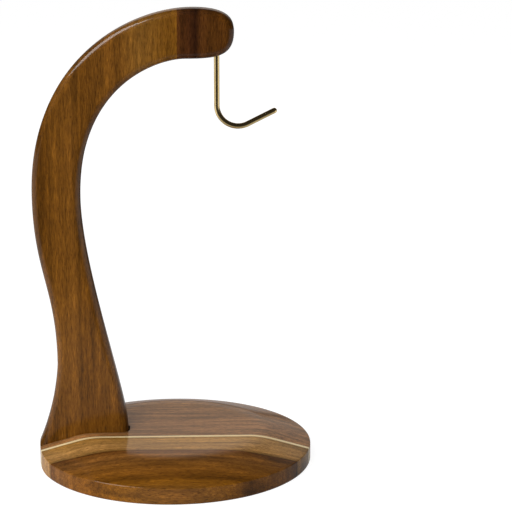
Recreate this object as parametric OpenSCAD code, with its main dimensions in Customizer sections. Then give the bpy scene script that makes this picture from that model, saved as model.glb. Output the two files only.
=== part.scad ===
// Wooden banana hanger: a turned round base, a flat curved arm let into it, and a wire hook.
// Millimetres. The origin is the centre of the base's underside, with +Z up.
// The arm stands over -X and reaches towards +X, and the light strip lies on the -Y side.

/* [Base] */
// Diameter of the round base
base_d = 201.4; // [180:0.2:260]
// Thickness of the base at its raised middle
base_h = 22.5; // [19:0.5:32]
// Height of the base's outer wall
rim_h = 12.2; // [11:0.1:16]
// Radius at which the raised middle turns into the slope
crown_r = 65.5; // [50:0.5:78]
// Radius of the blend between the raised middle and the slope
crown_blend = 60; // [20:5:90]
// Rounding along the top of the outer wall
rim_round = 1; // [0.4:0.1:2]
// Rounding along the bottom of the outer wall
sole_round = 1.2; // [0.4:0.1:2]
// How far sanding flattens the wall at the arm's foot
end_in = 1.6; // [0:0.1:3]
// Radius that the sanded end keeps, seen from above
end_r = 116; // [105:1:200]
// Width of the light strip glued between the two base boards
strip_w = 3.2; // [2:0.1:6]
// Distance from the base's middle line to the middle of the strip
strip_off = 19.7; // [18:0.1:40]

/* [Slot for the foot] */
// Wood left under the slot
slot_floor = 10; // [7:0.5:10.5]
// Gap between the slot and each face of the arm
slot_side_gap = 0.1; // [0.05:0.05:0.4]
// Gap between the slot's inner end and the arm
slot_end_gap = 1.2; // [0.5:0.1:3]
// How far the foot's outer edge stood proud of the turned wall before its end was sanded flush
foot_proud = 0.5; // [0:0.1:2]

/* [Arm] */
// Thickness of the arm's boards
arm_t = 19; // [15:0.5:25]
// Radius of the rounded edges
arm_round = 5.5; // [2:0.5:7]
// Height of the arm above the slot's floor
arm_h = 323.8; // [290:0.2:360]
// Length of the foot along the slot
foot_l = 67.2; // [55:0.2:80]
// Height over which the foot's inner edge stays upright
foot_upright = 14; // [5:1:30]
// Lean of the foot's outer edge where it leaves the rim, in degrees
flare_lean = 25.5; // [10:0.5:35]
// Distance from the base's wall line to the arm's outer edge at its neck
neck_in = 15.8; // [8:0.1:24]
// Height of the neck
neck_h = 65; // [50:1:90]
// Distance from the base's wall line to the outermost point of the arm's bulge
bulge_in = 0.2; // [0:0.1:8]
// Height of the outermost point of the bulge
bulge_h = 190.5; // [170:0.5:210]
// Distance from the base's wall line to the arm's inner edge at its waist
waist_in = 34.7; // [30:0.1:45]
// Height of the waist
waist_h = 187; // [165:0.5:205]

/* [Head of the arm] */
// Distance from the base's wall line to the highest point
top_in = 116.1; // [105:0.1:125]
// Distance from the base's wall line to the tip of the nose
nose_in = 145.5; // [138:0.1:160]
// Drop from the highest point to the tip of the nose
nose_drop = 16.2; // [10:0.2:20]
// Depth of the head, from its highest point to its underside
head_depth = 35.7; // [30:0.1:42]
// Distance from the base's wall line to the lowest point of the underside
under_in = 110.9; // [108:0.1:125]
// Distance from the base's wall line to the glue line of the tip board
glue_in = 105.2; // [85:0.1:107]

/* [Fullness of the curves] */
// Outer edge leaving the rim
full_flare = 0.5; // [0.3:0.02:0.7]
// Outer edge below the neck
full_neck_low = 0.06; // [0.04:0.02:0.4]
// Outer edge above the neck
full_neck_high = 0.46; // [0.3:0.02:0.6]
// Outer edge below the bulge
full_bulge_low = 0.46; // [0.3:0.02:0.6]
// Outer edge above the bulge
full_bulge_high = 0.72; // [0.5:0.02:0.8]
// Outer edge arriving at the highest point
full_top_left = 0.39; // [0.3:0.01:0.6]
// Outer edge leaving the highest point
full_top_right = 0.86; // [0.6:0.02:0.9]
// Nose above its tip
full_nose_high = 0.48; // [0.3:0.02:0.8]
// Nose below its tip
full_nose_low = 0.96; // [0.5:0.02:0.96]
// Underside next to the nose
full_under_right = 0.62; // [0.3:0.02:0.7]
// Underside towards the waist
full_under_left = 0.26; // [0.2:0.02:0.6]
// Inner edge above the waist
full_waist_high = 0.82; // [0.5:0.02:0.9]
// Inner edge below the waist
full_waist_low = 0.3; // [0.2:0.02:0.5]
// Inner edge arriving at the foot
full_foot = 0.14; // [0.1:0.02:0.4]

/* [Hook] */
// Diameter of the hook's wire
wire_d = 4; // [3:0.1:5]
// Distance from the tip of the nose back to the hook's shank
hook_back = 12.3; // [10:0.1:24]
// Drop from the head's underside to the centre of the bend
hook_drop = 34; // [25:0.2:60]
// Radius of the bend, to the middle of the wire
bend_r = 15.2; // [10:0.1:22]
// Angle that the bend turns through, in degrees
bend_turn = 116.5; // [90:0.5:160]
// Length of the straight end after the bend
tail_l = 23.2; // [8:0.1:35]
// Length of the threaded end inside the arm
thread_l = 18; // [10:0.5:22]
// Gap around the thread
thread_gap = 0.05; // [0.05:0.05:0.2]

/* [Screws] */
// Thread diameter of the screws that hold the arm
screw_d = 4; // [3:0.1:5]
// Diameter of a screw's countersunk head
screw_head_d = 8; // [6.5:0.1:10]
// Length of a screw
screw_l = 35; // [25:1:45]
// Distance between the screws
screw_pitch = 32; // [24:1:40]
// How deep the heads sit below the base's underside
screw_sink = 0.4; // [0.2:0.1:1]
// Gap around the screws where they pass through the base
screw_hole_gap = 0.25; // [0.1:0.05:0.5]
// Width of the bars of the cross in a screw's head
cross_w = 1; // [0.6:0.1:1.4]
// Length of the bars of the cross
cross_l = 4.4; // [3:0.1:5]
// Depth of the cross
cross_depth = 1.6; // [0.8:0.1:2]

/* [Hidden] */

$fn = 96;
// Steps along a quarter of the arm's rounded edge, and along the blends of the base
round_steps = 5;
blend_steps = 8;
// Steps along the stretches of the arm's two long edges, as many on one as on the other
flare_steps = 10;
neck_steps = 15;
rise_steps = 25;
waist_steps = 23;
under_steps = rise_steps + neck_steps + flare_steps - waist_steps - 1;
// Steps along the edges of the tip board: to the highest or lowest point, then round the nose
crest_steps = 4;
nose_steps = 14;
// Sides of the hook's wire, and steps round its bend
wire_sides = 20;
bend_steps = 24;
// Halvings that find where a curve crosses the glue line
search_steps = 30;
// How far a cutting shape runs past what it cuts
spare = 1;
// Points nearer than this count as one place
same_place = 0.001;
// How far past the sanded end's middle the sanding reaches along X
end_spread = 11;

base_r = base_d / 2;
strip_near = -strip_off + strip_w / 2;
strip_far = -strip_off - strip_w / 2;
slope = atan2(base_h - rim_h, base_r - crown_r);

// The arm's places along X are counted from the base's wall line
foot_outer_x = -base_r - foot_proud;
foot_inner_x = foot_outer_x + foot_l;
nose_x = nose_in - base_r;
glue_x = glue_in - base_r;
under_z = slot_floor + arm_h - head_depth;

// The two ends of the foot, and the extreme points of the outline, as [x, z]
foot_outer = [foot_outer_x, slot_floor];
foot_inner = [foot_inner_x, slot_floor];
foot_top = [foot_inner_x, slot_floor + foot_upright];
neck = [neck_in - base_r, slot_floor + neck_h];
bulge = [bulge_in - base_r, slot_floor + bulge_h];
waist = [waist_in - base_r, slot_floor + waist_h];
top = [top_in - base_r, slot_floor + arm_h];
nose = [nose_x, slot_floor + arm_h - nose_drop];
under = [under_in - base_r, under_z];

slot_end = foot_inner_x + slot_end_gap;
slot_half = arm_t / 2 + slot_side_gap;
slot_round = arm_round + slot_end_gap;

hook_x = nose_x - hook_back;
bend_z = under_z - hook_drop;
bore_r = wire_d / 2 + thread_gap;

screw_mid = (foot_outer_x + foot_inner_x) / 2;
screw_tip = 1.4 * screw_d;
screw_head_h = (screw_head_d - screw_d) / 2;

// Points of an arc from one angle to another
function arc(centre, r, from, to, steps) =
    [for (i = [0:steps]) let (a = from + (to - from) * i / steps) centre + r * [cos(a), sin(a)]];

// The four control points of a cubic curve between two points.
// Each inner one lies off its end by a pull, which is a fullness times the span along that end's direction.
function curve(from, from_pull, to_pull, to) = [from, from + from_pull, to - to_pull, to];
function along(c, t) =
    pow(1 - t, 3) * c[0] + 3 * pow(1 - t, 2) * t * c[1] + 3 * (1 - t) * t * t * c[2] + pow(t, 3) * c[3];
function heading(c, t) =
    let (d = pow(1 - t, 2) * (c[1] - c[0]) + 2 * (1 - t) * t * (c[2] - c[1]) + t * t * (c[3] - c[2]))
    d / norm(d);

// The place on a curve that runs towards +X where it crosses x
function crossing(c, x, low = 0, high = 1, left = search_steps) =
    let (mid = (low + high) / 2)
    left == 0 ? mid
    : along(c, mid)[0] < x ? crossing(c, x, mid, high, left - 1) : crossing(c, x, low, mid, left - 1);

// Points of a curve with their headings, from place a to just before place b
function walk(c, a, b, steps) =
    [for (i = [0:steps - 1]) let (t = a + (b - a) * i / steps) [along(c, t), heading(c, t)]];

// How far one point lies above another, and how far to its right, as vectors
function rise_of(from, to) = [0, to[1] - from[1]];
function run_of(from, to) = [to[0] - from[0], 0];

flare_pull = full_flare * rise_of(foot_outer, neck)[1] * [sin(flare_lean), cos(flare_lean)];
flare_curve = curve(foot_outer, flare_pull, full_neck_low * rise_of(foot_outer, neck), neck);
neck_curve = curve(neck, full_neck_high * rise_of(neck, bulge), full_bulge_low * rise_of(neck, bulge), bulge);
rise_curve = curve(bulge, full_bulge_high * rise_of(bulge, top), full_top_left * run_of(bulge, top), top);
brow_curve = curve(top, full_top_right * run_of(top, nose), full_nose_high * rise_of(top, nose), nose);
foot_curve = curve(foot_top, full_foot * rise_of(foot_top, waist), full_waist_low * rise_of(foot_top, waist),
                   waist);
throat_curve = curve(waist, full_waist_high * rise_of(waist, under), full_under_left * run_of(waist, under),
                     under);
chin_curve = curve(under, full_under_right * run_of(under, nose), full_nose_low * rise_of(under, nose), nose);

rise_cut = crossing(rise_curve, glue_x);
throat_cut = crossing(throat_curve, glue_x);

// The long edges of the main board, both from the foot to the glue line
outer_edge = concat(walk(flare_curve, 0, 1, flare_steps),
                    walk(neck_curve, 0, 1, neck_steps),
                    walk(rise_curve, 0, rise_cut, rise_steps),
                    [[along(rise_curve, rise_cut), heading(rise_curve, rise_cut)]]);
inner_edge = concat([[foot_inner, [0, 1]]],
                    walk(foot_curve, 0, 1, waist_steps),
                    walk(throat_curve, 0, throat_cut, under_steps),
                    [[along(throat_curve, throat_cut), heading(throat_curve, throat_cut)]]);

// The edges of the tip board, both from the glue line to the tip of the nose
brow_edge = concat(walk(rise_curve, rise_cut, 1, crest_steps),
                   walk(brow_curve, 0, 1, nose_steps),
                   [[nose, [0, -1]]]);
chin_edge = concat(walk(throat_curve, throat_cut, 1, crest_steps),
                   walk(chin_curve, 0, 1, nose_steps),
                   [[nose, [0, 1]]]);

// The hook's wire from the threaded point down the shank, round the bend and up the tail.
// Each ring is [centre as [x, z], the way the wire runs there in degrees from +X, radius].
wire_r = wire_d / 2;
hook_top = under_z + thread_l;
bend_centre = [hook_x + bend_r, bend_z];
tail_way = bend_turn - 90;
tail_start = bend_centre + bend_r * [sin(tail_way), -cos(tail_way)];
tail_end = tail_start + (tail_l - wire_r) * [cos(tail_way), sin(tail_way)];
wire_rings = concat(
    [[[hook_x, hook_top], -90, wire_r / 4], [[hook_x, hook_top - wire_d], -90, wire_r]],
    [for (i = [0:bend_steps]) let (a = bend_turn * i / bend_steps)
        [bend_centre - bend_r * [cos(a), sin(a)], a - 90, wire_r]],
    [for (i = [0:round_steps - 1]) let (a = 90 * i / round_steps)
        [tail_end + wire_r * sin(a) * [cos(tail_way), sin(tail_way)], tail_way, wire_r * cos(a)]]);

// How a point of an edge moves for each millimetre that the rounded edge draws in.
// It moves square to the edge, except at a sawn end, where it stays in the end's own plane.
function inward(edge, i, side, sawn_x, sawn_z) =
    let (p = edge[i][0], d = edge[i][1], square_in = side * [d[1], -d[0]])
    abs(p[0] - sawn_x) < same_place ? [0, sign(square_in[1])] / abs(square_in[1])
    : abs(p[1] - sawn_z) < same_place ? [sign(square_in[0]), 0] / abs(square_in[0]) : square_in;

// The section of the rounded edge, as [y, how far the outline is drawn in]
edge_section = concat(
    [for (i = [round_steps:-1:0]) let (a = 90 * i / round_steps)
        [-arm_t / 2 + arm_round * (1 - sin(a)), arm_round * (1 - cos(a))]],
    [for (i = [0:round_steps]) let (a = 90 * i / round_steps)
        [arm_t / 2 - arm_round * (1 - sin(a)), arm_round * (1 - cos(a))]]);

// A board with rounded edges between a left edge and a right edge of as many points, walked the same way.
// Where both edges end at one point, the board closes there.
module rounded_board(left, right, sawn_x, sawn_z) {
    n = len(left);
    closed = norm(left[n - 1][0] - right[n - 1][0]) < same_place;
    back = closed ? n - 2 : n - 1;
    loop = concat(
        [for (i = [0:n - 1]) [left[i][0], inward(left, i, 1, sawn_x, sawn_z)]],
        [for (i = [back:-1:0]) [right[i][0], inward(right, i, -1, sawn_x, sawn_z)]]);
    m = len(loop);
    rows = len(edge_section);
    points = [for (row = edge_section, at = loop) let (p = at[0] + at[1] * row[1]) [p[0], row[0], p[1]]];
    sides = [for (r = [0:rows - 2], i = [0:m - 1], half = [0, 1])
        let (a = r * m + i, b = r * m + (i + 1) % m)
        half == 0 ? [b, a, b + m] : [a, a + m, b + m]];
    front = [for (i = [0:n - 2], half = [0, 1])
        let (a = i, b = i + 1, c = m - 2 - i, d = m - 1 - i)
        if (half == 0 || c != b) half == 0 ? [a, b, d] : [b, c, d]];
    last = (rows - 1) * m;
    rear = [for (f = front) [last + f[0], last + f[2], last + f[1]]];
    polyhedron(points, concat(sides, front, rear));
}

// The turned base before it is cut apart
module base_blank() {
    rim_centre = [base_r - rim_round, rim_h + rim_round * tan(slope) - rim_round / cos(slope)];
    crown_centre = [crown_r - crown_blend * tan(slope / 2), base_h - crown_blend];
    rotate_extrude()
        polygon(concat([[0, 0]],
                       arc([base_r - sole_round, sole_round], sole_round, -90, 0, round_steps),
                       arc(rim_centre, rim_round, 0, 90 - slope, round_steps),
                       arc(crown_centre, crown_blend, 90 - slope, 90, blend_steps),
                       [[0, base_h]]));
}

// What sanding takes off the end of the base and of the foot, as a block less the round that stays
module sanded_away() {
    reach = end_in + foot_proud + end_spread;
    difference() {
        translate([-base_r - foot_proud - spare, -base_r / 2, -spare])
            cube([reach + spare, base_r, base_h + 2 * spare]);
        translate([end_in - base_r + end_r, 0, -2 * spare])
            cylinder(r = end_r, h = base_h + 4 * spare);
    }
}

// The part of the base between two planes square to Y
module base_slice(from_y, to_y) {
    difference() {
        intersection() {
            base_blank();
            translate([-base_r - spare, from_y, -spare])
                cube([base_d + 2 * spare, to_y - from_y, base_h + 2 * spare]);
        }
        sanded_away();
    }
}

// The routed slot: open at the rim, with a rounded inner end
module foot_slot() {
    start = -base_r - spare;
    depth = base_h - slot_floor + spare;
    translate([start, -slot_half, slot_floor])
        cube([slot_end - slot_round - start, 2 * slot_half, depth]);
    translate([start, slot_round - slot_half, slot_floor])
        cube([slot_end - start, 2 * (slot_half - slot_round), depth]);
    for (side = [-1, 1])
        translate([slot_end - slot_round, side * (slot_half - slot_round), slot_floor])
            cylinder(r = slot_round, h = depth);
}

// Places its children at each screw
module at_screws() {
    for (side = [-1, 1])
        translate([screw_mid + side * screw_pitch / 2, 0, 0])
            children();
}

// The hole for a screw and its countersunk head
module screw_hole() {
    r = screw_d / 2 + screw_hole_gap;
    head_r = screw_head_d / 2 + screw_hole_gap;
    translate([0, 0, -spare])
        cylinder(r = head_r, h = spare + screw_sink);
    translate([0, 0, screw_sink])
        cylinder(r1 = head_r, r2 = r, h = screw_head_h);
    cylinder(r = r, h = slot_floor + spare);
}

// One wood screw, head down, from the base's underside up into the foot
module screw() {
    r = screw_d / 2;
    difference() {
        translate([0, 0, screw_sink])
            rotate_extrude()
                polygon([[0, 0], [screw_head_d / 2, 0], [r, screw_head_h], [r, screw_l - screw_tip],
                         [0, screw_l]]);
        for (turn = [0, 90])
            rotate(turn)
                translate([-cross_l / 2, -cross_w / 2, screw_sink - spare])
                    cube([cross_l, cross_w, cross_depth + spare]);
    }
}

module base_rear_board() {
    color([0.46, 0.33, 0.24])
        difference() {
            base_slice(strip_near, base_r + spare);
            foot_slot();
            at_screws() screw_hole();
        }
}

module base_light_strip() {
    color([0.93, 0.83, 0.62])
        base_slice(strip_far, strip_near);
}

module base_front_board() {
    color([0.44, 0.28, 0.14])
        base_slice(-base_r - spare, strip_far);
}

module arm_board() {
    color([0.41, 0.27, 0.13])
        difference() {
            rounded_board(outer_edge, inner_edge, glue_x, slot_floor);
            sanded_away();
            at_screws()
                translate([0, 0, slot_floor - spare])
                    cylinder(r = screw_d / 2 + thread_gap, h = screw_sink + screw_l - slot_floor + 2 * spare);
        }
}

module arm_tip_board() {
    color([0.24, 0.15, 0.09])
        difference() {
            rounded_board(brow_edge, chin_edge, glue_x, slot_floor);
            translate([hook_x, 0, under_z - spare])
                cylinder(r = bore_r, h = thread_l + 2 * spare);
        }
}

module hook() {
    points = [for (ring = wire_rings, i = [0:wire_sides - 1])
        let (a = 360 * i / wire_sides, at = ring[0] + ring[2] * cos(a) * [-sin(ring[1]), cos(ring[1])])
        [at[0], ring[2] * sin(a), at[1]]];
    last = (len(wire_rings) - 1) * wire_sides;
    sides = [for (r = [0:len(wire_rings) - 2], i = [0:wire_sides - 1], half = [0, 1])
        let (a = r * wire_sides + i, b = r * wire_sides + (i + 1) % wire_sides)
        half == 0 ? [a, b, b + wire_sides] : [a, b + wire_sides, a + wire_sides]];
    start = [[for (i = [wire_sides - 1:-1:0]) i]];
    finish = [[for (i = [0:wire_sides - 1]) last + i]];
    color([0.74, 0.64, 0.42])
        polyhedron(points, concat(sides, start, finish));
}

module arm_screws() {
    color([0.7, 0.7, 0.7])
        at_screws() screw();
}

base_rear_board();
base_light_strip();
base_front_board();
arm_board();
arm_tip_board();
hook();
arm_screws();
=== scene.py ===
"""Wooden banana hanger: a turned round base, a flat curved arm let into it, and a wire hook.

Metres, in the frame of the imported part: the origin is the centre of the base's underside, +Z is up,
and the arm stands over -X and reaches towards +X. Sizes of the pieces are written in millimetres.
"""

import math

import bmesh
import bpy
import numpy as np
from mathutils import Matrix, Vector


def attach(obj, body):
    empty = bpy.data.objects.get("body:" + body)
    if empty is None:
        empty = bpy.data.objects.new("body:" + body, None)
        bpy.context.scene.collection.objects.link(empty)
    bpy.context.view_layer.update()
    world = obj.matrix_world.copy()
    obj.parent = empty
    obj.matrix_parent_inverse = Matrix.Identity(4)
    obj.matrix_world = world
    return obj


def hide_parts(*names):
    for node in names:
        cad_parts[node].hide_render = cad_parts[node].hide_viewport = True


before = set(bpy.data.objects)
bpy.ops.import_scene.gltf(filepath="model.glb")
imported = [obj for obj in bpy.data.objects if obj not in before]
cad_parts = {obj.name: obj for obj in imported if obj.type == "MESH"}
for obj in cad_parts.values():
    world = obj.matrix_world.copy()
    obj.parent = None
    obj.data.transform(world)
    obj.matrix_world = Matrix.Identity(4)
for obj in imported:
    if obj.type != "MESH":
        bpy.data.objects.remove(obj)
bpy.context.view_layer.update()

# ---------------------------------------------------------------------------------------------
# Camera
# A long lens stands about a metre and a half in front, 14 degrees above the arm's middle, as in
# the photograph: the base shows as a flat ellipse and the arm almost square on.
# ---------------------------------------------------------------------------------------------
MM = 0.001
CAMERA_PLACE = (7.72 * MM, -1443.5 * MM, 515.5 * MM)
CAMERA_YAW, CAMERA_PITCH = 0.0365, 0.2459
CAMERA_LENS, CAMERA_SENSOR = 144.18, 36


def look(position, yaw, pitch):
    """The matrix of a camera or lamp that looks along +Y, turned by yaw towards +X and by pitch down."""
    ahead = Vector((math.sin(yaw) * math.cos(pitch), math.cos(yaw) * math.cos(pitch), -math.sin(pitch)))
    right = Vector((math.cos(yaw), -math.sin(yaw), 0))
    turn = Matrix((right, right.cross(ahead), -ahead)).transposed().to_4x4()
    turn.translation = Vector(position)
    return turn


camera_data = bpy.data.cameras.new("camera")
camera_data.sensor_width = CAMERA_SENSOR
camera_data.lens = CAMERA_LENS
camera = bpy.data.objects.new("camera", camera_data)
camera.matrix_world = look(CAMERA_PLACE, CAMERA_YAW, CAMERA_PITCH)
bpy.context.collection.objects.link(camera)
bpy.context.scene.camera = camera

# ---------------------------------------------------------------------------------------------
# The base's rear board
# The larger of the two boards that the round base is glued up from: brown acacia, its grain along X. The
# blank was turned on a lathe. A slot routed in from the rim takes the arm's foot, and two countersunk holes
# its screws. With the arm in, the end was sanded flush, a little flatter than the rim, and all was lacquered.
# ---------------------------------------------------------------------------------------------
BASE_R, BASE_H, RIM_H = 100.7, 22.5, 12.2
CROWN_R, CROWN_BLEND = 65.5, 60.0
RIM_ROUND, SOLE_ROUND = 1.0, 1.2
END_IN, END_R, END_REACH = 1.6, 116.0, 12.6
STRIP_NEAR, STRIP_FAR = -18.1, -21.3
SLOT_FLOOR, SLOT_END, SLOT_HALF, SLOT_ROUND = 10.0, -32.8, 9.6, 6.7
SCREW_X, SCREW_R, SCREW_HEAD_R, SCREW_SINK, SCREW_HOLE_GAP = (-83.6, -51.6), 2.0, 4.0, 0.4, 0.25
# How far a cutter reaches past what it cuts
SPARE = 1.0
# The mesh has this many steps round, and a ring this far inside each rounding, which keeps flat faces flat
TURNED_STEPS = 288
SOLE_RING, CROWN_RING = 3.0, 2.0


def arc(centre, r, start, stop, steps):
    """Points of an arc, centre + r (cos a, sin a), for angles a in equal steps from start to stop in degrees."""
    a = np.radians(np.linspace(start, stop, steps + 1))
    return np.stack([centre[0] + r * np.cos(a), centre[1] + r * np.sin(a)], 1)


def line(start, stop, steps):
    """Points in equal steps from start to just before stop."""
    t = np.arange(steps)[:, None] / steps
    return np.asarray(start) * (1 - t) + np.asarray(stop) * t


def grid_faces(rows, columns, closed):
    """Quads between neighbouring rows and columns of a grid, and from the last column to the first if closed."""
    r, c = np.meshgrid(np.arange(rows - 1), np.arange(columns if closed else columns - 1), indexing="ij")
    a, b = r * columns + c, r * columns + (c + 1) % columns
    return np.stack([a, b, b + columns, a + columns], -1).reshape(-1, 4)


def shell(name, *grids, caps=()):
    """A closed piece from grids of points in millimetres, closed along their columns.

    Each grid is an array of rows, columns and x, y, z. A cap is a row of a grid, by grid and row number,
    that is closed with one flat face. Points that fall together are merged, and faces turned outwards.
    """
    points, faces, offset, starts = [], [], 0, []
    for grid in grids:
        starts.append(offset)
        points.append(grid.reshape(-1, 3))
        faces += (grid_faces(grid.shape[0], grid.shape[1], True) + offset).tolist()
        offset += grid.shape[0] * grid.shape[1]
    for which, row in caps:
        columns = grids[which].shape[1]
        first = starts[which] + (row % grids[which].shape[0]) * columns
        faces.append(list(range(first, first + columns)))
    mesh = bpy.data.meshes.new(name)
    mesh.from_pydata((np.concatenate(points) * MM).tolist(), [], faces)
    piece = bpy.data.objects.new(name, mesh)
    bpy.context.collection.objects.link(piece)
    clean(piece)
    return piece


def clean(piece):
    """Merges the points of a piece that fall together and turns its faces outwards."""
    work = bmesh.new()
    work.from_mesh(piece.data)
    bmesh.ops.remove_doubles(work, verts=work.verts, dist=1e-7)
    bmesh.ops.recalc_face_normals(work, faces=work.faces)
    work.to_mesh(piece.data)
    work.free()


def slice_off(piece, y, side):
    """Saws a piece along the plane at that y, keeps the side towards +Y (1) or -Y (-1), and closes the cut."""
    work = bmesh.new()
    work.from_mesh(piece.data)
    cut = bmesh.ops.bisect_plane(work, geom=work.verts[:] + work.edges[:] + work.faces[:], dist=1e-8,
                                 plane_co=(0, y * MM, 0), plane_no=(0, side, 0), clear_inner=True)
    bmesh.ops.edgeloop_fill(work, edges=[e for e in cut["geom_cut"] if isinstance(e, bmesh.types.BMEdge)])
    work.to_mesh(piece.data)
    work.free()
    clean(piece)


def cut_away(piece, *cutters):
    """Takes the cutters' shapes out of a piece, and removes the cutters."""
    for cutter in cutters:
        modifier = piece.modifiers.new("cut", "BOOLEAN")
        modifier.operation, modifier.solver, modifier.object = "DIFFERENCE", "EXACT", cutter
        depsgraph = bpy.context.evaluated_depsgraph_get()
        result = bpy.data.meshes.new_from_object(piece.evaluated_get(depsgraph))
        piece.modifiers.clear()
        old, piece.data = piece.data, result
        bpy.data.meshes.remove(old)
        bpy.data.meshes.remove(cutter.data)
    clean(piece)


def smooth(piece, sharp_degrees=28):
    """Shades a piece smooth, except across edges that turn by more than sharp_degrees."""
    piece.data.shade_smooth()
    piece.data.set_sharp_from_angle(angle=math.radians(sharp_degrees))


def turned(profile, centre=(0, 0), steps=TURNED_STEPS):
    """A profile of (radius, height) turned about an upright axis: x, y = centre + radius (cos a, sin a)."""
    a = np.linspace(0, 2 * np.pi, steps, endpoint=False)
    r, z = profile[:, :1], profile[:, 1:]
    return np.stack([centre[0] + r * np.cos(a), centre[1] + r * np.sin(a), z + 0 * a], -1)


def base_blank(name):
    """The glued blank as it came off the lathe, turned from its profile: underside, rim, slope, flat crown."""
    slope = math.atan2(BASE_H - RIM_H, BASE_R - CROWN_R)
    steep = math.degrees(slope)
    rim_centre = (BASE_R - RIM_ROUND, RIM_H + RIM_ROUND * (math.tan(slope) - 1 / math.cos(slope)))
    crown_centre = (CROWN_R - CROWN_BLEND * math.tan(slope / 2), BASE_H - CROWN_BLEND)
    sole = arc((BASE_R - SOLE_ROUND, SOLE_ROUND), SOLE_ROUND, -90, 0, 8)
    rim = arc(rim_centre, RIM_ROUND, 0, 90 - steep, 8)
    crown = arc(crown_centre, CROWN_BLEND, 90 - steep, 90, 16)
    sole_ring, crown_ring = (BASE_R - SOLE_RING, 0), (crown[-1][0] - CROWN_RING, BASE_H)
    profile = np.concatenate([
        line((0, 0), sole_ring, 12), line(sole_ring, sole[0], 4), sole,
        line(sole[-1], rim[0], 10)[1:], rim, line(rim[-1], crown[0], 14)[1:], crown,
        line(crown[-1], crown_ring, 4)[1:], line(crown_ring, (0, BASE_H), 14), [(0, BASE_H)]])
    return shell(name, turned(profile))


def upright(outline, low, high):
    """Two rows of a grid: an outline of (x, y) points at a low and at a high z."""
    return np.array([np.column_stack([outline, np.full(len(outline), z)]) for z in (low, high)])


def slot_cutter():
    """The router's path: two straight sides and an inner end with rounded corners, down to the slot's floor."""
    outline = np.concatenate([
        [(-BASE_R - SPARE, SLOT_HALF), (-BASE_R - SPARE, -SLOT_HALF)],
        arc((SLOT_END - SLOT_ROUND, SLOT_ROUND - SLOT_HALF), SLOT_ROUND, -90, 0, 12),
        arc((SLOT_END - SLOT_ROUND, SLOT_HALF - SLOT_ROUND), SLOT_ROUND, 0, 90, 12)])
    return shell("slot_cutter", upright(outline, SLOT_FLOOR, BASE_H + SPARE), caps=[(0, 0), (0, 1)])


def sanding_cutter():
    """What sanding took off the end at the arm: a block less the wide round that stays.

    The round is x = END_IN - BASE_R + END_R less the root of END_R squared minus y squared.
    """
    y = np.linspace(BASE_R / 2, -BASE_R / 2, 81)
    kept = END_IN - BASE_R + END_R - np.sqrt(END_R ** 2 - y ** 2)
    outside = -BASE_R - 2 * SPARE
    outline = np.concatenate([[(outside, -BASE_R / 2), (outside, BASE_R / 2)],
                              np.column_stack([np.minimum(kept, END_REACH - BASE_R), y])])
    return shell("sanding_cutter", upright(outline, -SPARE, BASE_H + SPARE), caps=[(0, 0), (0, 1)])


def screw_hole_cutter(x):
    """The drilled and countersunk hole for one screw, turned about its axis."""
    r, head_r = SCREW_R + SCREW_HOLE_GAP, SCREW_HEAD_R + SCREW_HOLE_GAP
    sink, top = SCREW_SINK + SCREW_HEAD_R - SCREW_R, SLOT_FLOOR + SPARE
    profile = np.array([(0, -SPARE), (head_r, -SPARE), (head_r, SCREW_SINK), (r, sink), (r, top), (0, top)])
    return shell("hole_cutter", turned(profile, (x, 0), 48))


rear_board = base_blank("rear_board")
slice_off(rear_board, STRIP_NEAR, 1)
cut_away(rear_board, sanding_cutter(), slot_cutter(), *[screw_hole_cutter(x) for x in SCREW_X])
smooth(rear_board)


def linear(colour):
    """An sRGB hex colour as the linear red, green, blue and alpha that Blender's nodes hold."""
    values = np.array([int(colour[i:i + 2], 16) for i in (1, 3, 5)]) / 255
    values = np.where(values <= 0.04045, values / 12.92, ((values + 0.055) / 1.055) ** 2.4)
    return (*values.tolist(), 1.0)


def add(tree, kind, inputs=None, stops=None, **settings):
    """Adds a shader node with its settings, and fills its inputs with values or with other nodes' outputs.

    An input given a whole node takes that node's first output. Stops are (place, hex colour) pairs of a ramp.
    """
    made = tree.nodes.new("ShaderNode" + kind)
    for name, value in settings.items():
        setattr(made, name, value)
    for key, value in (inputs or {}).items():
        if isinstance(value, bpy.types.Node):
            value = value.outputs[0]
        if isinstance(value, bpy.types.NodeSocket):
            tree.links.new(value, made.inputs[key])
        else:
            made.inputs[key].default_value = value
    if stops:
        ramp = made.color_ramp.elements
        while len(ramp) < len(stops):
            ramp.new(1)
        for element, (place, colour) in zip(ramp, stops):
            element.position, element.color = place, linear(colour)
    return made


def bare_material(name):
    """A new material, and its node tree, emptied."""
    material = bpy.data.materials.new(name)
    material.use_nodes = True
    material.node_tree.nodes.clear()
    return material, material.node_tree


# How the grain of a board lies: the turn that brings it to the pattern's own X
GRAIN_ALONG_X = (0, 0, 0)
GRAIN_ALONG_Z = (0, math.pi / 2, 0)
# Acacia, planed, turned or sawn, sanded fine, and sprayed thin with clear lacquer over its open pores: the wood
# shows through with a satin look of its own, and the lacquer mirrors softly, and clearly only at a flat angle
# and along the rounded edges
LACQUER = {"coat": 0.36, "rough": 0.11, "specular": 0.02, "ior": 1.5}
WOOD_ROUGH, WOOD_RELIEF = (0.42, 0.54), 0.04 * MM
# Growth rings, per millimetre outwards: how fast their spacing and their tone vary. Each ring darkens to its
# end by this power
RINGS_VARY, BANDS_VARY, RING_END = 0.09, 0.14, 2.5
# Plain figure: how far the rings waver, their spacing and the width of a fibre in millimetres, and how much
# each layer darkens
PLAIN = {"swell": 8, "ripple": 2.2, "uneven": 9, "spacing": 9, "dark": 0.16, "bands": 0.25, "figure": 0.32,
         "streaks": 0.42, "fibres": 0.6, "grain": 0.7, "pores": 0.5}


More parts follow.
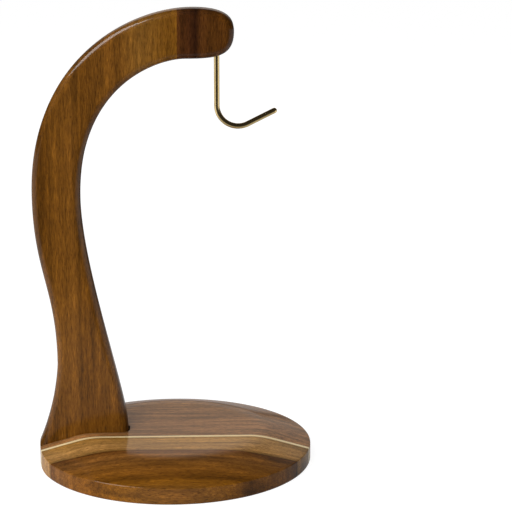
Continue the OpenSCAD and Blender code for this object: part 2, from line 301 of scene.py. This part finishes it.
def acacia(name, grain, pith, zones, rings, patches=()):
    """Lacquered acacia, worked out inside the board as it grew, so faces, edges and ends of the grain agree.

    In millimetres, with the grain along the pattern's X. The distance of a point from the pith, wavered by
    slow noise, gives the growth zone, and through it the ground colour, and the growth rings. Stretched noise
    adds the long soft figure, the streaks, the fibres and the short dark pores of open-grained hardwood.
    rings holds the figure's sizes and depths, as PLAIN does; patches are (centre, sizes, how dark) of places
    made darker than the rest, or lighter where the number is below 0, some of them as painted shade and painted
    light.
    """
    material, tree = bare_material(name)
    place = add(tree, "TexCoord").outputs["Object"]
    grown = add(tree, "Mapping", {"Vector": place, "Rotation": grain, "Scale": (1 / MM, 1 / MM, 1 / MM)})
    # Length along the grain and width across it: swells and ripples of the trunk, the figure, streaks, fibres,
    # and pores, which are drawn twice as wide as they are, because a real pore is too fine to show
    layers = {"swell": (150, 40, {"Detail": 1}),
              "ripple": (45, 9, {"Detail": 2}),
              "figure": (60, 8, {"Detail": 3, "Distortion": 0.4}),
              "streaks": (40, 2.2, {"Detail": 2}),
              "fibres": (5.5, rings["grain"], {"Detail": 3, "Roughness": 0.6}),
              "pores": (4, 0.5, {"Detail": 1})}
    noise = {}
    for layer, (length, width, kind) in layers.items():
        drawn = add(tree, "Mapping", {"Vector": grown, "Scale": (1 / length, 1 / width, 1 / width)})
        noise[layer] = add(tree, "TexNoise", {"Vector": drawn, "Scale": 1, **kind})
    # The way out from the pith
    out = add(tree, "VectorMath", {0: grown, 1: (0, -pith[0], -pith[1])}, operation="ADD")
    out = add(tree, "VectorMath", {0: out, 1: (0, 1, 1)}, operation="MULTIPLY")
    out = add(tree, "VectorMath", {0: out}, operation="LENGTH").outputs["Value"]
    out = add(tree, "Math", {0: out, 1: (rings["swell"] + rings["ripple"]) / 2}, operation="SUBTRACT")
    for layer in ("swell", "ripple"):
        out = add(tree, "Math", {0: noise[layer], 1: rings[layer], 2: out}, operation="MULTIPLY_ADD")
    low, high = zones[0][0], zones[-1][0]
    zone = add(tree, "MapRange", {"Value": out, "From Min": low, "From Max": high})
    ground = add(tree, "ValToRGB", {"Fac": zone}, [((d - low) / (high - low), c) for d, c in zones])
    # Growth rings: each darkens slowly outwards and ends at once; the spacing itself is uneven
    uneven = add(tree, "TexNoise", {"W": out, "Scale": RINGS_VARY, "Detail": 2}, noise_dimensions="1D")
    ring = add(tree, "Math", {0: uneven, 1: rings["uneven"], 2: out}, operation="MULTIPLY_ADD")
    ring = add(tree, "Math", {0: ring, 1: rings["spacing"]}, operation="DIVIDE")
    ring = add(tree, "Math", {0: ring}, operation="FRACT")
    ring = add(tree, "Math", {0: ring, 1: RING_END}, operation="POWER")
    noise["bands"] = add(tree, "TexNoise", {"W": out, "Scale": BANDS_VARY, "Detail": 4, "Roughness": 0.55},
                         noise_dimensions="1D")
    # Each layer darkens and lightens the ground by its depth
    light = add(tree, "Math", {0: ring, 1: -rings["dark"], 2: 1}, operation="MULTIPLY_ADD")
    for layer in ("bands", "figure", "streaks", "fibres"):
        change = add(tree, "MapRange", {"Value": noise[layer], "From Min": 0.25, "From Max": 0.75,
                                        "To Min": 1 - rings[layer], "To Max": 1 + rings[layer]})
        light = add(tree, "Math", {0: light, 1: change}, operation="MULTIPLY")
    # Patches darken or lighten the board, some of them as painted shade and painted light
    for centre, sizes, depth in patches:
        near = add(tree, "Mapping", {"Vector": place, "Scale": tuple(1 / MM / s for s in sizes),
                                     "Location": tuple(-c / s for c, s in zip(centre, sizes))})
        near = add(tree, "TexGradient", {"Vector": near}, gradient_type="QUADRATIC_SPHERE")
        near = add(tree, "Math", {0: near.outputs["Fac"], 1: -depth, 2: 1}, operation="MULTIPLY_ADD")
        light = add(tree, "Math", {0: light, 1: near}, operation="MULTIPLY")
    # Only the peaks of their noise are pores
    pore = add(tree, "MapRange", {"Value": noise["pores"], "From Min": 0.58, "From Max": 0.68,
                                  "To Max": rings["pores"]})
    pored = add(tree, "Math", {0: 1, 1: pore}, operation="SUBTRACT")
    light = add(tree, "Math", {0: light, 1: pored}, operation="MULTIPLY")
    colour = add(tree, "VectorMath", {0: ground, "Scale": light}, operation="SCALE")
    rough = add(tree, "MapRange", {"Value": noise["fibres"], "From Min": 0.3, "From Max": 0.7,
                                   "To Min": WOOD_ROUGH[0], "To Max": WOOD_ROUGH[1]})
    height = add(tree, "Math", {0: pore, 1: -1, 2: noise["fibres"]}, operation="MULTIPLY_ADD")
    bump = add(tree, "Bump", {"Strength": 0.5, "Distance": WOOD_RELIEF, "Height": height})
    surface = add(tree, "BsdfPrincipled", {
        "Base Color": colour, "Roughness": rough, "Normal": bump, "IOR": LACQUER["ior"],
        "Specular IOR Level": LACQUER["specular"], "Coat Weight": LACQUER["coat"],
        "Coat Roughness": LACQUER["rough"], "Coat IOR": LACQUER["ior"]})
    add(tree, "OutputMaterial", {"Surface": surface})
    return material


def finish_piece(piece, material, slot, *nodes):
    """Gives a piece its material, sets it on the part's body, and lets it stand for its CAD nodes; slot is not
    used.
    """
    piece.data.materials.clear()
    piece.data.materials.append(material)
    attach(piece, "root")
    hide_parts(*nodes)


rear_wood = acacia("rear_board_acacia_lacquered", GRAIN_ALONG_X, (260, -90),
                   [(195, "#8c623c"), (235, "#906438"), (262, "#865c34"), (282, "#90643c"), (310, "#96683a")],
                   # The patch lightens the slope just in front of the arm's foot: painted light over the arm's
                   # shade there
                   PLAIN, [((-66, -15, 17), (42, 10, 14), -0.75)])
finish_piece(rear_board, rear_wood, "rear_board_wood", "base_rear_board")

# ---------------------------------------------------------------------------------------------
# The base's light strip
# A 3.2 mm strip of pale maple glued between the two boards before turning, so it follows the base's profile:
# close straight grain, sanded fine, cream under the same lacquer.
# ---------------------------------------------------------------------------------------------
light_strip = base_blank("light_strip")
slice_off(light_strip, STRIP_NEAR, -1)
slice_off(light_strip, STRIP_FAR, 1)
cut_away(light_strip, sanding_cutter())
smooth(light_strip)
strip_wood = acacia("light_strip_maple_lacquered", GRAIN_ALONG_X, (120, -60),
                    [(150, "#ecd6a6"), (156, "#f2e0b4"), (162, "#e9d09c")],
                    dict(PLAIN, swell=3, spacing=2.2, dark=0.05, bands=0.04, figure=0.05, streaks=0.05,
                         fibres=0.06, pores=0.08))
finish_piece(light_strip, strip_wood, "strip_wood", "base_light_strip")

# ---------------------------------------------------------------------------------------------
# The base's front board
# The smaller board of the blank, cut nearer the heart of the trunk and turned with the rest: golden sapwood
# beside the strip, a thin dark line where the heartwood begins, and brown heartwood with wide arched figure
# in front.
# ---------------------------------------------------------------------------------------------
front_board = base_blank("front_board")
slice_off(front_board, STRIP_FAR, -1)
cut_away(front_board, sanding_cutter())
smooth(front_board)
front_wood = acacia("front_board_acacia_lacquered", GRAIN_ALONG_X, (-112, 8),
                    [(8, "#8c5a22"), (14, "#7a4e18"), (20, "#865412"), (27, "#70440e"), (34, "#7e4e16"),
                     (42, "#7c4e1a"), (50, "#744a1e"), (58, "#7a4e20"), (62.6, "#74461a"), (64.2, "#54320f"),
                     (65.6, "#9c7038"), (75, "#ae8046"), (92, "#a67838")],
                    dict(PLAIN, swell=6, ripple=1.6, spacing=6.5, streaks=0.25, fibres=0.45),
                    # Painted shade: the two patches on the right of the rim's wall, at x 57 and x 95, darken it
                    # where the lamps from the left leave it dark. The other patches darken the slopes at either
                    # side and lighten the left end of the wall and the middle in front
                    [((72, -54, 15), (40, 17, 20), 0.5), ((-76, -55, 15), (22, 16, 20), 0.25),
                     ((57, -84, 3), (36, 32, 16), 0.8), ((95, -36, 3), (50, 54, 24), 0.85),
                     ((-80, -58, 5), (12, 16, 12), -0.15), ((-4, -57, 20), (44, 13, 14), -0.45)])
finish_piece(front_board, front_wood, "front_board_wood", "base_front_board")

# ---------------------------------------------------------------------------------------------
# The arm's main board
# A 19 mm acacia board with upright grain, glued edge to edge with the tip board, bandsawn to its curve and
# rounded over along both edges with a 5.5 mm cutter. Its foot is glued and screwed into the base's slot.
# ---------------------------------------------------------------------------------------------
ARM_HALF, ARM_ROUND, ROUND_POINTS = 9.5, 5.5, 9
GLUE_X = 4.5
SCREW_TOP, SCREW_BORE_GAP = 35.4, 0.05
# The outline as cubic curves: end, two pulls and end, as (x, z)
FLARE = [(-101.2, 10), (-87.21, 39.33), (-84.9, 71.1), (-84.9, 75)]
NECK = [(-84.9, 75), (-84.9, 132.73), (-100.5, 142.77), (-100.5, 200.5)]
RISE = [(-100.5, 200.5), (-100.5, 296.48), (-29.8, 333.8), (15.4, 333.8)]
BROW = [(15.4, 333.8), (40.68, 333.8), (44.8, 325.38), (44.8, 317.6)]
FOOT_SIDE = [(-34, 10), (-34, 14.667), (-34, 19.333), (-34, 24)]
FOOT = [(-34, 24), (-34, 48.22), (-66, 145.1), (-66, 197)]
THROAT = [(-66, 197), (-66, 279.9), (-9.6, 298.1), (10.2, 298.1)]
CHIN = [(10.2, 298.1), (31.65, 298.1), (44.8, 298.88), (44.8, 317.6)]


def along(curve, t):
    """Points and headings of a cubic curve at the places t, by the usual cubic weights of its four points."""
    c, t = np.array(curve, float), np.asarray(t, float)[:, None]
    points = (1 - t) ** 3 * c[0] + 3 * (1 - t) ** 2 * t * c[1] + 3 * (1 - t) * t ** 2 * c[2] + t ** 3 * c[3]
    run = (1 - t) ** 2 * (c[1] - c[0]) + 2 * (1 - t) * t * (c[2] - c[1]) + t ** 2 * (c[3] - c[2])
    return points, run / np.linalg.norm(run, axis=1, keepdims=True)


def crossing(curve, x):
    """The place t where a cubic curve crosses that x: the real root of its cubic between 0 and 1."""
    c = np.array(curve, float)[:, 0]
    roots = np.roots([c[3] - 3 * c[2] + 3 * c[1] - c[0], 3 * c[2] - 6 * c[1] + 3 * c[0],
                      3 * (c[1] - c[0]), c[0] - x])
    roots = roots[np.abs(roots.imag) < 1e-9].real
    return float(roots[(roots >= 0) & (roots <= 1)][0])


def edge(*stretches):
    """One long edge of a board from (curve, from, to, steps) stretches, as points and headings."""
    parts = [along(curve, a + (b - a) * np.arange(steps + (i == len(stretches) - 1)) / steps)
             for i, (curve, a, b, steps) in enumerate(stretches)]
    return [np.concatenate(p) for p in zip(*parts)]


def inward(points, headings, side, sawn_x, sawn_z):
    """How far each point of an edge moves per millimetre of rounding: square to it, but along a sawn end."""
    square = side * np.stack([headings[:, 1], -headings[:, 0]], 1)
    at_x, at_z = np.abs(points[:, 0] - sawn_x) < 0.001, np.abs(points[:, 1] - sawn_z) < 0.001
    square[at_x] = np.stack([0 * square[at_x, 0], 1 / square[at_x, 1]], 1)
    square[at_z] = np.stack([1 / square[at_z, 0], 0 * square[at_z, 1]], 1)
    return square


def rounded_board(name, left, right, columns=14, caps=((0, 0), (0, -1))):
    """A board between a left and a right edge, from one closed section for each pair of edge points.

    The section goes over the left edge from front to back, across the back, over the right edge to the front
    and across the front. Over an edge, y = half the thickness less round (1 - sin a), and the outline is
    drawn in by round (1 - cos a), for a from 90 degrees to 0 and back.
    """
    a = np.radians(np.linspace(90, 0, ROUND_POINTS))
    y = np.concatenate([-ARM_HALF + ARM_ROUND * (1 - np.sin(a)), [0],
                        ARM_HALF - ARM_ROUND * (1 - np.sin(a[::-1]))])
    draw = ARM_ROUND * np.concatenate([1 - np.cos(a), [0], 1 - np.cos(a[::-1])])
    sides = []
    for (points, headings), side in ((left, 1), (right, -1)):
        move = inward(points, headings, side, GLUE_X, SLOT_FLOOR)
        at = points[:, None, :] + move[:, None, :] * draw[None, :, None]
        sides.append(np.stack([at[..., 0], np.broadcast_to(y, at.shape[:2]), at[..., 1]], -1))
    over_left, over_right = sides[0], sides[1][:, ::-1]
    t = (np.arange(1, columns) / columns)[None, :, None]
    back = over_left[:, -1:] * (1 - t) + over_right[:, :1] * t
    front = over_right[:, -1:] * (1 - t) + over_left[:, :1] * t
    return shell(name, np.concatenate([over_left, back, over_right, front], 1), caps=caps)


def bore_cutter(x, r, low, high):
    """A drilled bore, turned about its upright axis."""
    return shell("bore_cutter", turned(np.array([(0, low), (r, low), (r, high), (0, high)]), (x, 0), 48))


rise_cut, throat_cut = crossing(RISE, GLUE_X), crossing(THROAT, GLUE_X)
outer_edge = edge((FLARE, 0, 1, 28), (NECK, 0, 1, 44), (RISE, 0, rise_cut, 88))
inner_edge = edge((FOOT_SIDE, 0, 1, 6), (FOOT, 0, 1, 66), (THROAT, 0, throat_cut, 88))
arm_board = rounded_board("arm_main_board", outer_edge, inner_edge)
cut_away(arm_board, sanding_cutter(),
         *[bore_cutter(x, SCREW_R + SCREW_BORE_GAP, SLOT_FLOOR - SPARE, SCREW_TOP + SPARE) for x in SCREW_X])
smooth(arm_board)
arm_wood = acacia("arm_acacia_lacquered", GRAIN_ALONG_Z, (60, 340),
                  [(248, "#56340a"), (258, "#543208"), (264, "#663f0f"), (278, "#684112"), (284, "#5c380c"),
                   (292, "#663f10"), (312, "#684112"), (326, "#764f1c"), (344, "#724912"), (352, "#704710")],
                  dict(PLAIN, swell=6, spacing=13, dark=0.08, figure=0.2, streaks=0.24, fibres=0.62,
                       grain=0.42, pores=0.35),
                  # The patch lightens the lower arm: painted light in place of the bounce off the white floor
                  [((-66, 0, 90), (90, 60, 190), -0.3)])
finish_piece(arm_board, arm_wood, "arm_wood", "arm_board")

# ---------------------------------------------------------------------------------------------
# The arm's tip board
# A darker piece of the same wood, glued to the main board along an upright line before the curve was sawn: a
# near-black streak beside the glue line, then dark brown. Its end is the rounded nose, and the hook's hole is
# drilled up into its underside.
# ---------------------------------------------------------------------------------------------
UNDER_Z = 298.1
WIRE_R, THREAD_GAP, THREAD_L, HOOK_X = 2.0, 0.05, 18.0, 32.5
brow_edge = edge((RISE, rise_cut, 1, 12), (BROW, 0, 1, 40))
chin_edge = edge((THROAT, throat_cut, 1, 12), (CHIN, 0, 1, 40))
tip_board = rounded_board("tip_board", brow_edge, chin_edge, caps=((0, 0),))
cut_away(tip_board, bore_cutter(HOOK_X, WIRE_R + THREAD_GAP, UNDER_Z - SPARE, UNDER_Z + THREAD_L + SPARE))
smooth(tip_board)
tip_wood = acacia("tip_board_acacia_lacquered", GRAIN_ALONG_Z, (60, 340),
                  [(350, "#4a2a0e"), (356, "#46260c"), (360, "#3a1e0a"), (364, "#2a1406"), (368, "#48280c"),
                   (375, "#502e0c"), (390, "#4a2a08")],
                  dict(PLAIN, swell=5, ripple=1.6, spacing=9, dark=0.08, streaks=0.3, fibres=0.7, grain=0.45,
                       pores=0.35))
finish_piece(tip_board, tip_wood, "tip_wood", "arm_tip_board")

# ---------------------------------------------------------------------------------------------
# The hook
# 4 mm brass wire, drawn and polished bright: its upper end is threaded and turned into the arm, the shank
# hangs straight down, and the wire bends round and up to a short tail with a rounded end.
# ---------------------------------------------------------------------------------------------
HOOK_TOP, BEND_Z, BEND_R, BEND_TURN, TAIL_L = 316.1, 264.1, 15.2, 116.5, 23.2
# The thread: its point, how far above the arm's underside it stops, and the length over which it runs out
THREAD_PITCH, THREAD_DEPTH = 1.6, 0.4
THREAD_POINT, THREAD_STOP, THREAD_RUNOUT = 2.0, 3.0, 2.5
WIRE_SIDES = 40


def thread(z, a, pitch, depth):
    """How far a thread's flank lies below its crest: depth times a triangle wave of z/pitch - a/360 degrees."""
    return depth * np.abs(2 * ((z / pitch - a / (2 * np.pi)) % 1) - 1)


def hook_wire():
    """Rings along the wire's middle line: each point = centre + r (cos a across the wire, sin a along Y)."""
    a = np.linspace(0, 2 * np.pi, WIRE_SIDES, endpoint=False)
    point_z = HOOK_TOP - THREAD_POINT
    thread_z = np.concatenate([[HOOK_TOP, point_z], np.linspace(point_z - 0.2, UNDER_Z + THREAD_STOP, 150)])
    shank_z = np.linspace(UNDER_Z + THREAD_STOP - 1, BEND_Z, 12)[:-1]
    bend = np.linspace(0, BEND_TURN, 61)
    bend_at = np.stack([HOOK_X + BEND_R * (1 - np.cos(np.radians(bend))),
                        BEND_Z - BEND_R * np.sin(np.radians(bend))], 1)
    way = math.radians(BEND_TURN - 90)
    ahead = np.array([math.cos(way), math.sin(way)])
    tail = np.linspace(0, TAIL_L - WIRE_R, 8)[1:]
    end = np.radians(np.linspace(0, 90, 10))[1:]
    middles = np.concatenate([
        [(HOOK_X, z) for z in thread_z], [(HOOK_X, z) for z in shank_z], bend_at,
        bend_at[-1] + tail[:, None] * ahead, bend_at[-1] + (tail[-1] + WIRE_R * np.sin(end))[:, None] * ahead])
    ways = np.radians(np.concatenate([np.full(len(thread_z) + len(shank_z), -90.0), bend - 90,
                                      np.full(len(tail) + len(end), BEND_TURN - 90)]))
    radii = np.concatenate([[WIRE_R / 4], np.full(len(middles) - len(end) - 1, WIRE_R), WIRE_R * np.cos(end)])
    r = np.repeat(radii[:, None], WIRE_SIDES, 1)
    # The thread is cut full depth inside the arm and runs out just above the arm's underside
    rows = len(thread_z)
    cut = np.clip((thread_z - UNDER_Z - THREAD_STOP) / THREAD_RUNOUT, 0, 1) * (r[:rows, 0] > WIRE_R / 2)
    r[:rows] -= cut[:, None] * thread(thread_z[:, None], a[None, :], THREAD_PITCH, THREAD_DEPTH)
    across = np.stack([-np.sin(ways), np.cos(ways)], 1)
    return np.stack([middles[:, :1] + r * np.cos(a) * across[:, :1], r * np.sin(a),
                     middles[:, 1:] + r * np.cos(a) * across[:, 1:]], -1)


hook = shell("hook_wire", hook_wire(), caps=[(0, 0)])
smooth(hook, 40)
# Brass wire, drawn through a die and polished: a pale gold that mirrors the room along its length, a little
# duller in places where it has been handled. The places are about 7 mm across, 140 to the metre
brass, tree = bare_material("polished_brass_wire")
place = add(tree, "TexCoord").outputs["Object"]
handled = add(tree, "TexNoise", {"Vector": place, "Scale": 140, "Detail": 2})
tone = add(tree, "ValToRGB", {"Fac": handled}, [(0.35, "#c9b07a"), (0.7, "#d8c08c")])
rough = add(tree, "MapRange", {"Value": handled, "From Min": 0.3, "From Max": 0.7, "To Min": 0.2,
                               "To Max": 0.27})
surface = add(tree, "BsdfPrincipled", {"Base Color": tone, "Metallic": 1.0, "Roughness": rough})
add(tree, "OutputMaterial", {"Surface": surface})
finish_piece(hook, brass, "hook_brass", "hook")

# ---------------------------------------------------------------------------------------------
# The screws
# Two zinc-plated steel countersunk wood screws, 4 by 35 mm with a cross recess, driven up through the base
# into the arm's foot. Only their heads show, from below.
# ---------------------------------------------------------------------------------------------
SCREW_L, SCREW_TIP, SCREW_PITCH, SCREW_THREAD_DEPTH = 35.0, 5.6, 1.8, 0.55
NECK_R, NECK_L = SCREW_R * 0.9, 5
# The head's edge is rounded by this much, across and down
HEAD_EDGE = (0.3, 0.15)
CROSS_HALF_W, CROSS_HALF_L, CROSS_DEPTH, CROSS_NARROWS = 0.5, 2.2, 1.6, 0.45


def screw_shell(x):
    """One screw from the middle of its head to its point: r falls from head to neck, then follows the thread."""
    a = np.linspace(0, 2 * np.pi, 40, endpoint=False)
    head_h = SCREW_HEAD_R - SCREW_R
    head = [(0, 0), (1.2, 0), (2.6, 0), (SCREW_HEAD_R - HEAD_EDGE[0], 0), (SCREW_HEAD_R, HEAD_EDGE[1]),
            (SCREW_R, head_h), (NECK_R, head_h + 0.4), (NECK_R, head_h + NECK_L)]
    z = np.linspace(head_h + NECK_L + 0.2, SCREW_L, 190)
    taper = np.clip((SCREW_L - z) / SCREW_TIP, 0, 1)
    r = taper[:, None] * (SCREW_R - thread(z[:, None], a[None, :], SCREW_PITCH, SCREW_THREAD_DEPTH))
    r = np.concatenate([np.repeat([[p[0]] for p in head], 40, 1), r])
    z = np.concatenate([[p[1] for p in head], z])[:, None] + SCREW_SINK + 0 * a
    return np.stack([x + r * np.cos(a), r * np.sin(a), z], -1)


def cross_cutter(x):
    """The cross recess: a twelve-sided cross that narrows towards its floor."""
    w, h = CROSS_HALF_W, CROSS_HALF_L
    cross = np.array([(h, -w), (h, w), (w, w), (w, h), (-w, h), (-w, w),
                      (-h, w), (-h, -w), (-w, -w), (-w, -h), (w, -h), (w, -w)])
    rows = [np.column_stack([x + cross[:, 0] * k, cross[:, 1] * k, np.full(len(cross), SCREW_SINK + z)])
            for k, z in ((1.0, -SPARE), (1.0, 0), (CROSS_NARROWS, CROSS_DEPTH))]
    return shell("cross_cutter", np.array(rows), caps=[(0, 0), (0, -1)])


screws = shell("arm_screws_threaded", *[screw_shell(x) for x in SCREW_X])
cut_away(screws, *[cross_cutter(x) for x in SCREW_X])
smooth(screws, 30)
# Steel, cold headed and rolled, then barrel plated with zinc: a cool light grey with a soft, slightly blotchy
# shine. Real blotches are finer; these are about 1 mm, 900 to the metre, so that they show at all
zinc, tree = bare_material("zinc_plated_steel")
place = add(tree, "TexCoord").outputs["Object"]
bloom = add(tree, "TexNoise", {"Vector": place, "Scale": 900, "Detail": 3})
tone = add(tree, "ValToRGB", {"Fac": bloom}, [(0.3, "#a9abad"), (0.7, "#c3c4c4")])
rough = add(tree, "MapRange", {"Value": bloom, "From Min": 0.3, "From Max": 0.7, "To Min": 0.28, "To Max": 0.42})
surface = add(tree, "BsdfPrincipled", {"Base Color": tone, "Metallic": 1.0, "Roughness": rough})
add(tree, "OutputMaterial", {"Surface": surface})
finish_piece(screws, zinc, "screw_steel", "arm_screws")

# ---------------------------------------------------------------------------------------------
# Floor and light
# A plain white floor and a white studio round it. The key is a large soft lamp in front, to the left and
# above; weaker ones stand low at the left and behind. A soft box high at the left shows only in the gloss.
# ---------------------------------------------------------------------------------------------
FLOOR_HALF = 8
WHITE = linear("#ffffff")
floor_mesh = bpy.data.meshes.new("floor")
floor_mesh.from_pydata([(-FLOOR_HALF, -FLOOR_HALF, 0), (FLOOR_HALF, -FLOOR_HALF, 0),
                        (FLOOR_HALF, FLOOR_HALF, 0), (-FLOOR_HALF, FLOOR_HALF, 0)], [], [(0, 1, 2, 3)])
floor = bpy.data.objects.new("floor", floor_mesh)
bpy.context.collection.objects.link(floor)
# Uncoated backdrop paper, rolled smooth: matt white with no shine. Three quarters of what the camera sees of
# it is plain white, and the rest is the paper itself, which keeps the shadow
paper, tree = bare_material("white_paper")
path = add(tree, "LightPath")
seen = add(tree, "Math", {0: path.outputs["Is Camera Ray"], 1: 0.75}, operation="MULTIPLY")
matt = add(tree, "BsdfDiffuse", {"Color": linear("#f6f6f6")})
plain = add(tree, "Emission", {"Color": WHITE, "Strength": 1.22})
white = add(tree, "MixShader", {0: seen, 1: matt, 2: plain})
# What glossy faces mirror of it: bright paper within a third of a metre, a dim table beyond, and a window's
# light on the table at the left and, weaker, at the right
spot = add(tree, "TexCoord").outputs["Object"]
reach = add(tree, "VectorMath", {0: spot}, operation="LENGTH").outputs["Value"]
near = add(tree, "MapRange", {"Value": reach, "From Min": 0.3, "From Max": 0.55, "To Min": 0.65, "To Max": 0.05})
rightwards = add(tree, "Math", {0: add(tree, "SeparateXYZ", {0: spot}), 1: reach}, operation="DIVIDE")
lit_left = add(tree, "MapRange", {"Value": rightwards, "From Min": -0.6, "From Max": -0.9, "To Max": 1.4})
lit_right = add(tree, "MapRange", {"Value": rightwards, "From Min": 0.6, "From Max": 0.9, "To Max": 1.2})
lit = add(tree, "Math", {0: lit_left, 1: lit_right}, operation="ADD")
away = add(tree, "MapRange", {"Value": reach, "From Min": 0.25, "From Max": 0.4})
near = add(tree, "Math", {0: lit, 1: away, 2: near}, operation="MULTIPLY_ADD")
table = add(tree, "Emission", {"Color": WHITE, "Strength": near})
mirrored = add(tree, "Math", {0: path.outputs["Is Glossy Ray"], 1: path.outputs["Is Transmission Ray"]},
               operation="MAXIMUM")
add(tree, "OutputMaterial", {"Surface": add(tree, "MixShader", {0: mirrored, 1: white, 2: table})})
floor.data.materials.append(paper)

world = bpy.data.worlds.new("studio")
world.use_nodes = True
bpy.context.scene.world = world
sky = world.node_tree
sky.nodes.clear()
# What glossy faces mirror: a white screen straight behind, from the horizon to 30 degrees up, in a dim room.
# Its soft edges are (axis of the direction, outer and inner place, light outside and inside), multiplied
SCREEN_EDGES = (("Y", 0.3, 0.6, 0, 1), ("X", -0.3, -0.12, 0, 1), ("X", 0.4, 0.1, 0.4, 1),
                ("Z", -0.02, 0.1, 0, 1), ("Z", 0.62, 0.46, 0, 1))
ROOM_LIGHT = 0.03
way = add(sky, "SeparateXYZ", {0: add(sky, "TexCoord").outputs["Generated"]})
screen = 1.0
for axis, outer, inner, outside, inside in SCREEN_EDGES:
    soft_edge = add(sky, "MapRange", {"Value": way.outputs[axis], "From Min": outer, "From Max": inner,
                                      "To Min": outside, "To Max": inside})
    screen = add(sky, "Math", {0: screen, 1: soft_edge}, operation="MULTIPLY")
room = add(sky, "Math", {0: screen, 1: ROOM_LIGHT}, operation="ADD")
# The soft light that matt faces get: more from the left than from the right
side = add(sky, "MapRange", {"Value": way.outputs["X"], "From Min": -1.0, "From Max": 1.0, "To Min": 0.55,
                             "To Max": 0.08})
path = add(sky, "LightPath")
mirrored = add(sky, "Math", {0: path.outputs["Is Glossy Ray"], 1: path.outputs["Is Transmission Ray"]},
               operation="MAXIMUM")
seen_light = add(sky, "Background", {"Color": linear("#fff3e8"), "Strength": room})
soft_light = add(sky, "Background", {"Color": WHITE, "Strength": side})
lighting = add(sky, "MixShader", {0: mirrored, 1: soft_light, 2: seen_light})
backdrop = add(sky, "Background", {"Color": WHITE, "Strength": 1.0})
studio = add(sky, "MixShader", {0: path.outputs["Is Camera Ray"], 1: lighting, 2: backdrop})
add(sky, "OutputWorld", {"Surface": studio})


def lamp(name, position, target, size, watts, mirrored=False, lights=True):
    """A square soft lamp, turned to a target. Glossy faces mirror it, and it lights matt ones, if asked."""
    data = bpy.data.lights.new(name, "AREA")
    data.shape, data.size, data.energy = "SQUARE", size, watts
    made = bpy.data.objects.new(name, data)
    made.visible_glossy, made.visible_diffuse = mirrored, lights
    offset = Vector(target) - Vector(position)
    made.matrix_world = look(position, math.atan2(offset.x, offset.y), -math.asin(offset.z / offset.length))
    bpy.context.collection.objects.link(made)
    return made


lamp("key", (-0.8, -1.6, 1.65), (0, 0, 0.15), 1.0, 29)
lamp("low_left", (-1.5, -0.75, 0.5), (0, 0, 0.1), 0.8, 12)
lamp("back", (0.7, 1.8, 0.5), (0, 0, 0.15), 0.9, 8)
# The soft box whose image is the bright line along the upper left of the arm's rounded edge. It is kept off the
# thin wire, where its image would burn out to a jagged white line
soft_box = lamp("soft_box", (-1.26, -0.6, 1.66), (-0.02, 0, 0.25), 1.2, 62, mirrored=True, lights=False)
lacquered = bpy.data.collections.new("lacquered_wood")
for board in (rear_board, light_strip, front_board, arm_board, tip_board):
    lacquered.objects.link(board)
soft_box.light_linking.receiver_collection = lacquered

bpy.context.scene.view_settings.view_transform = "Standard"
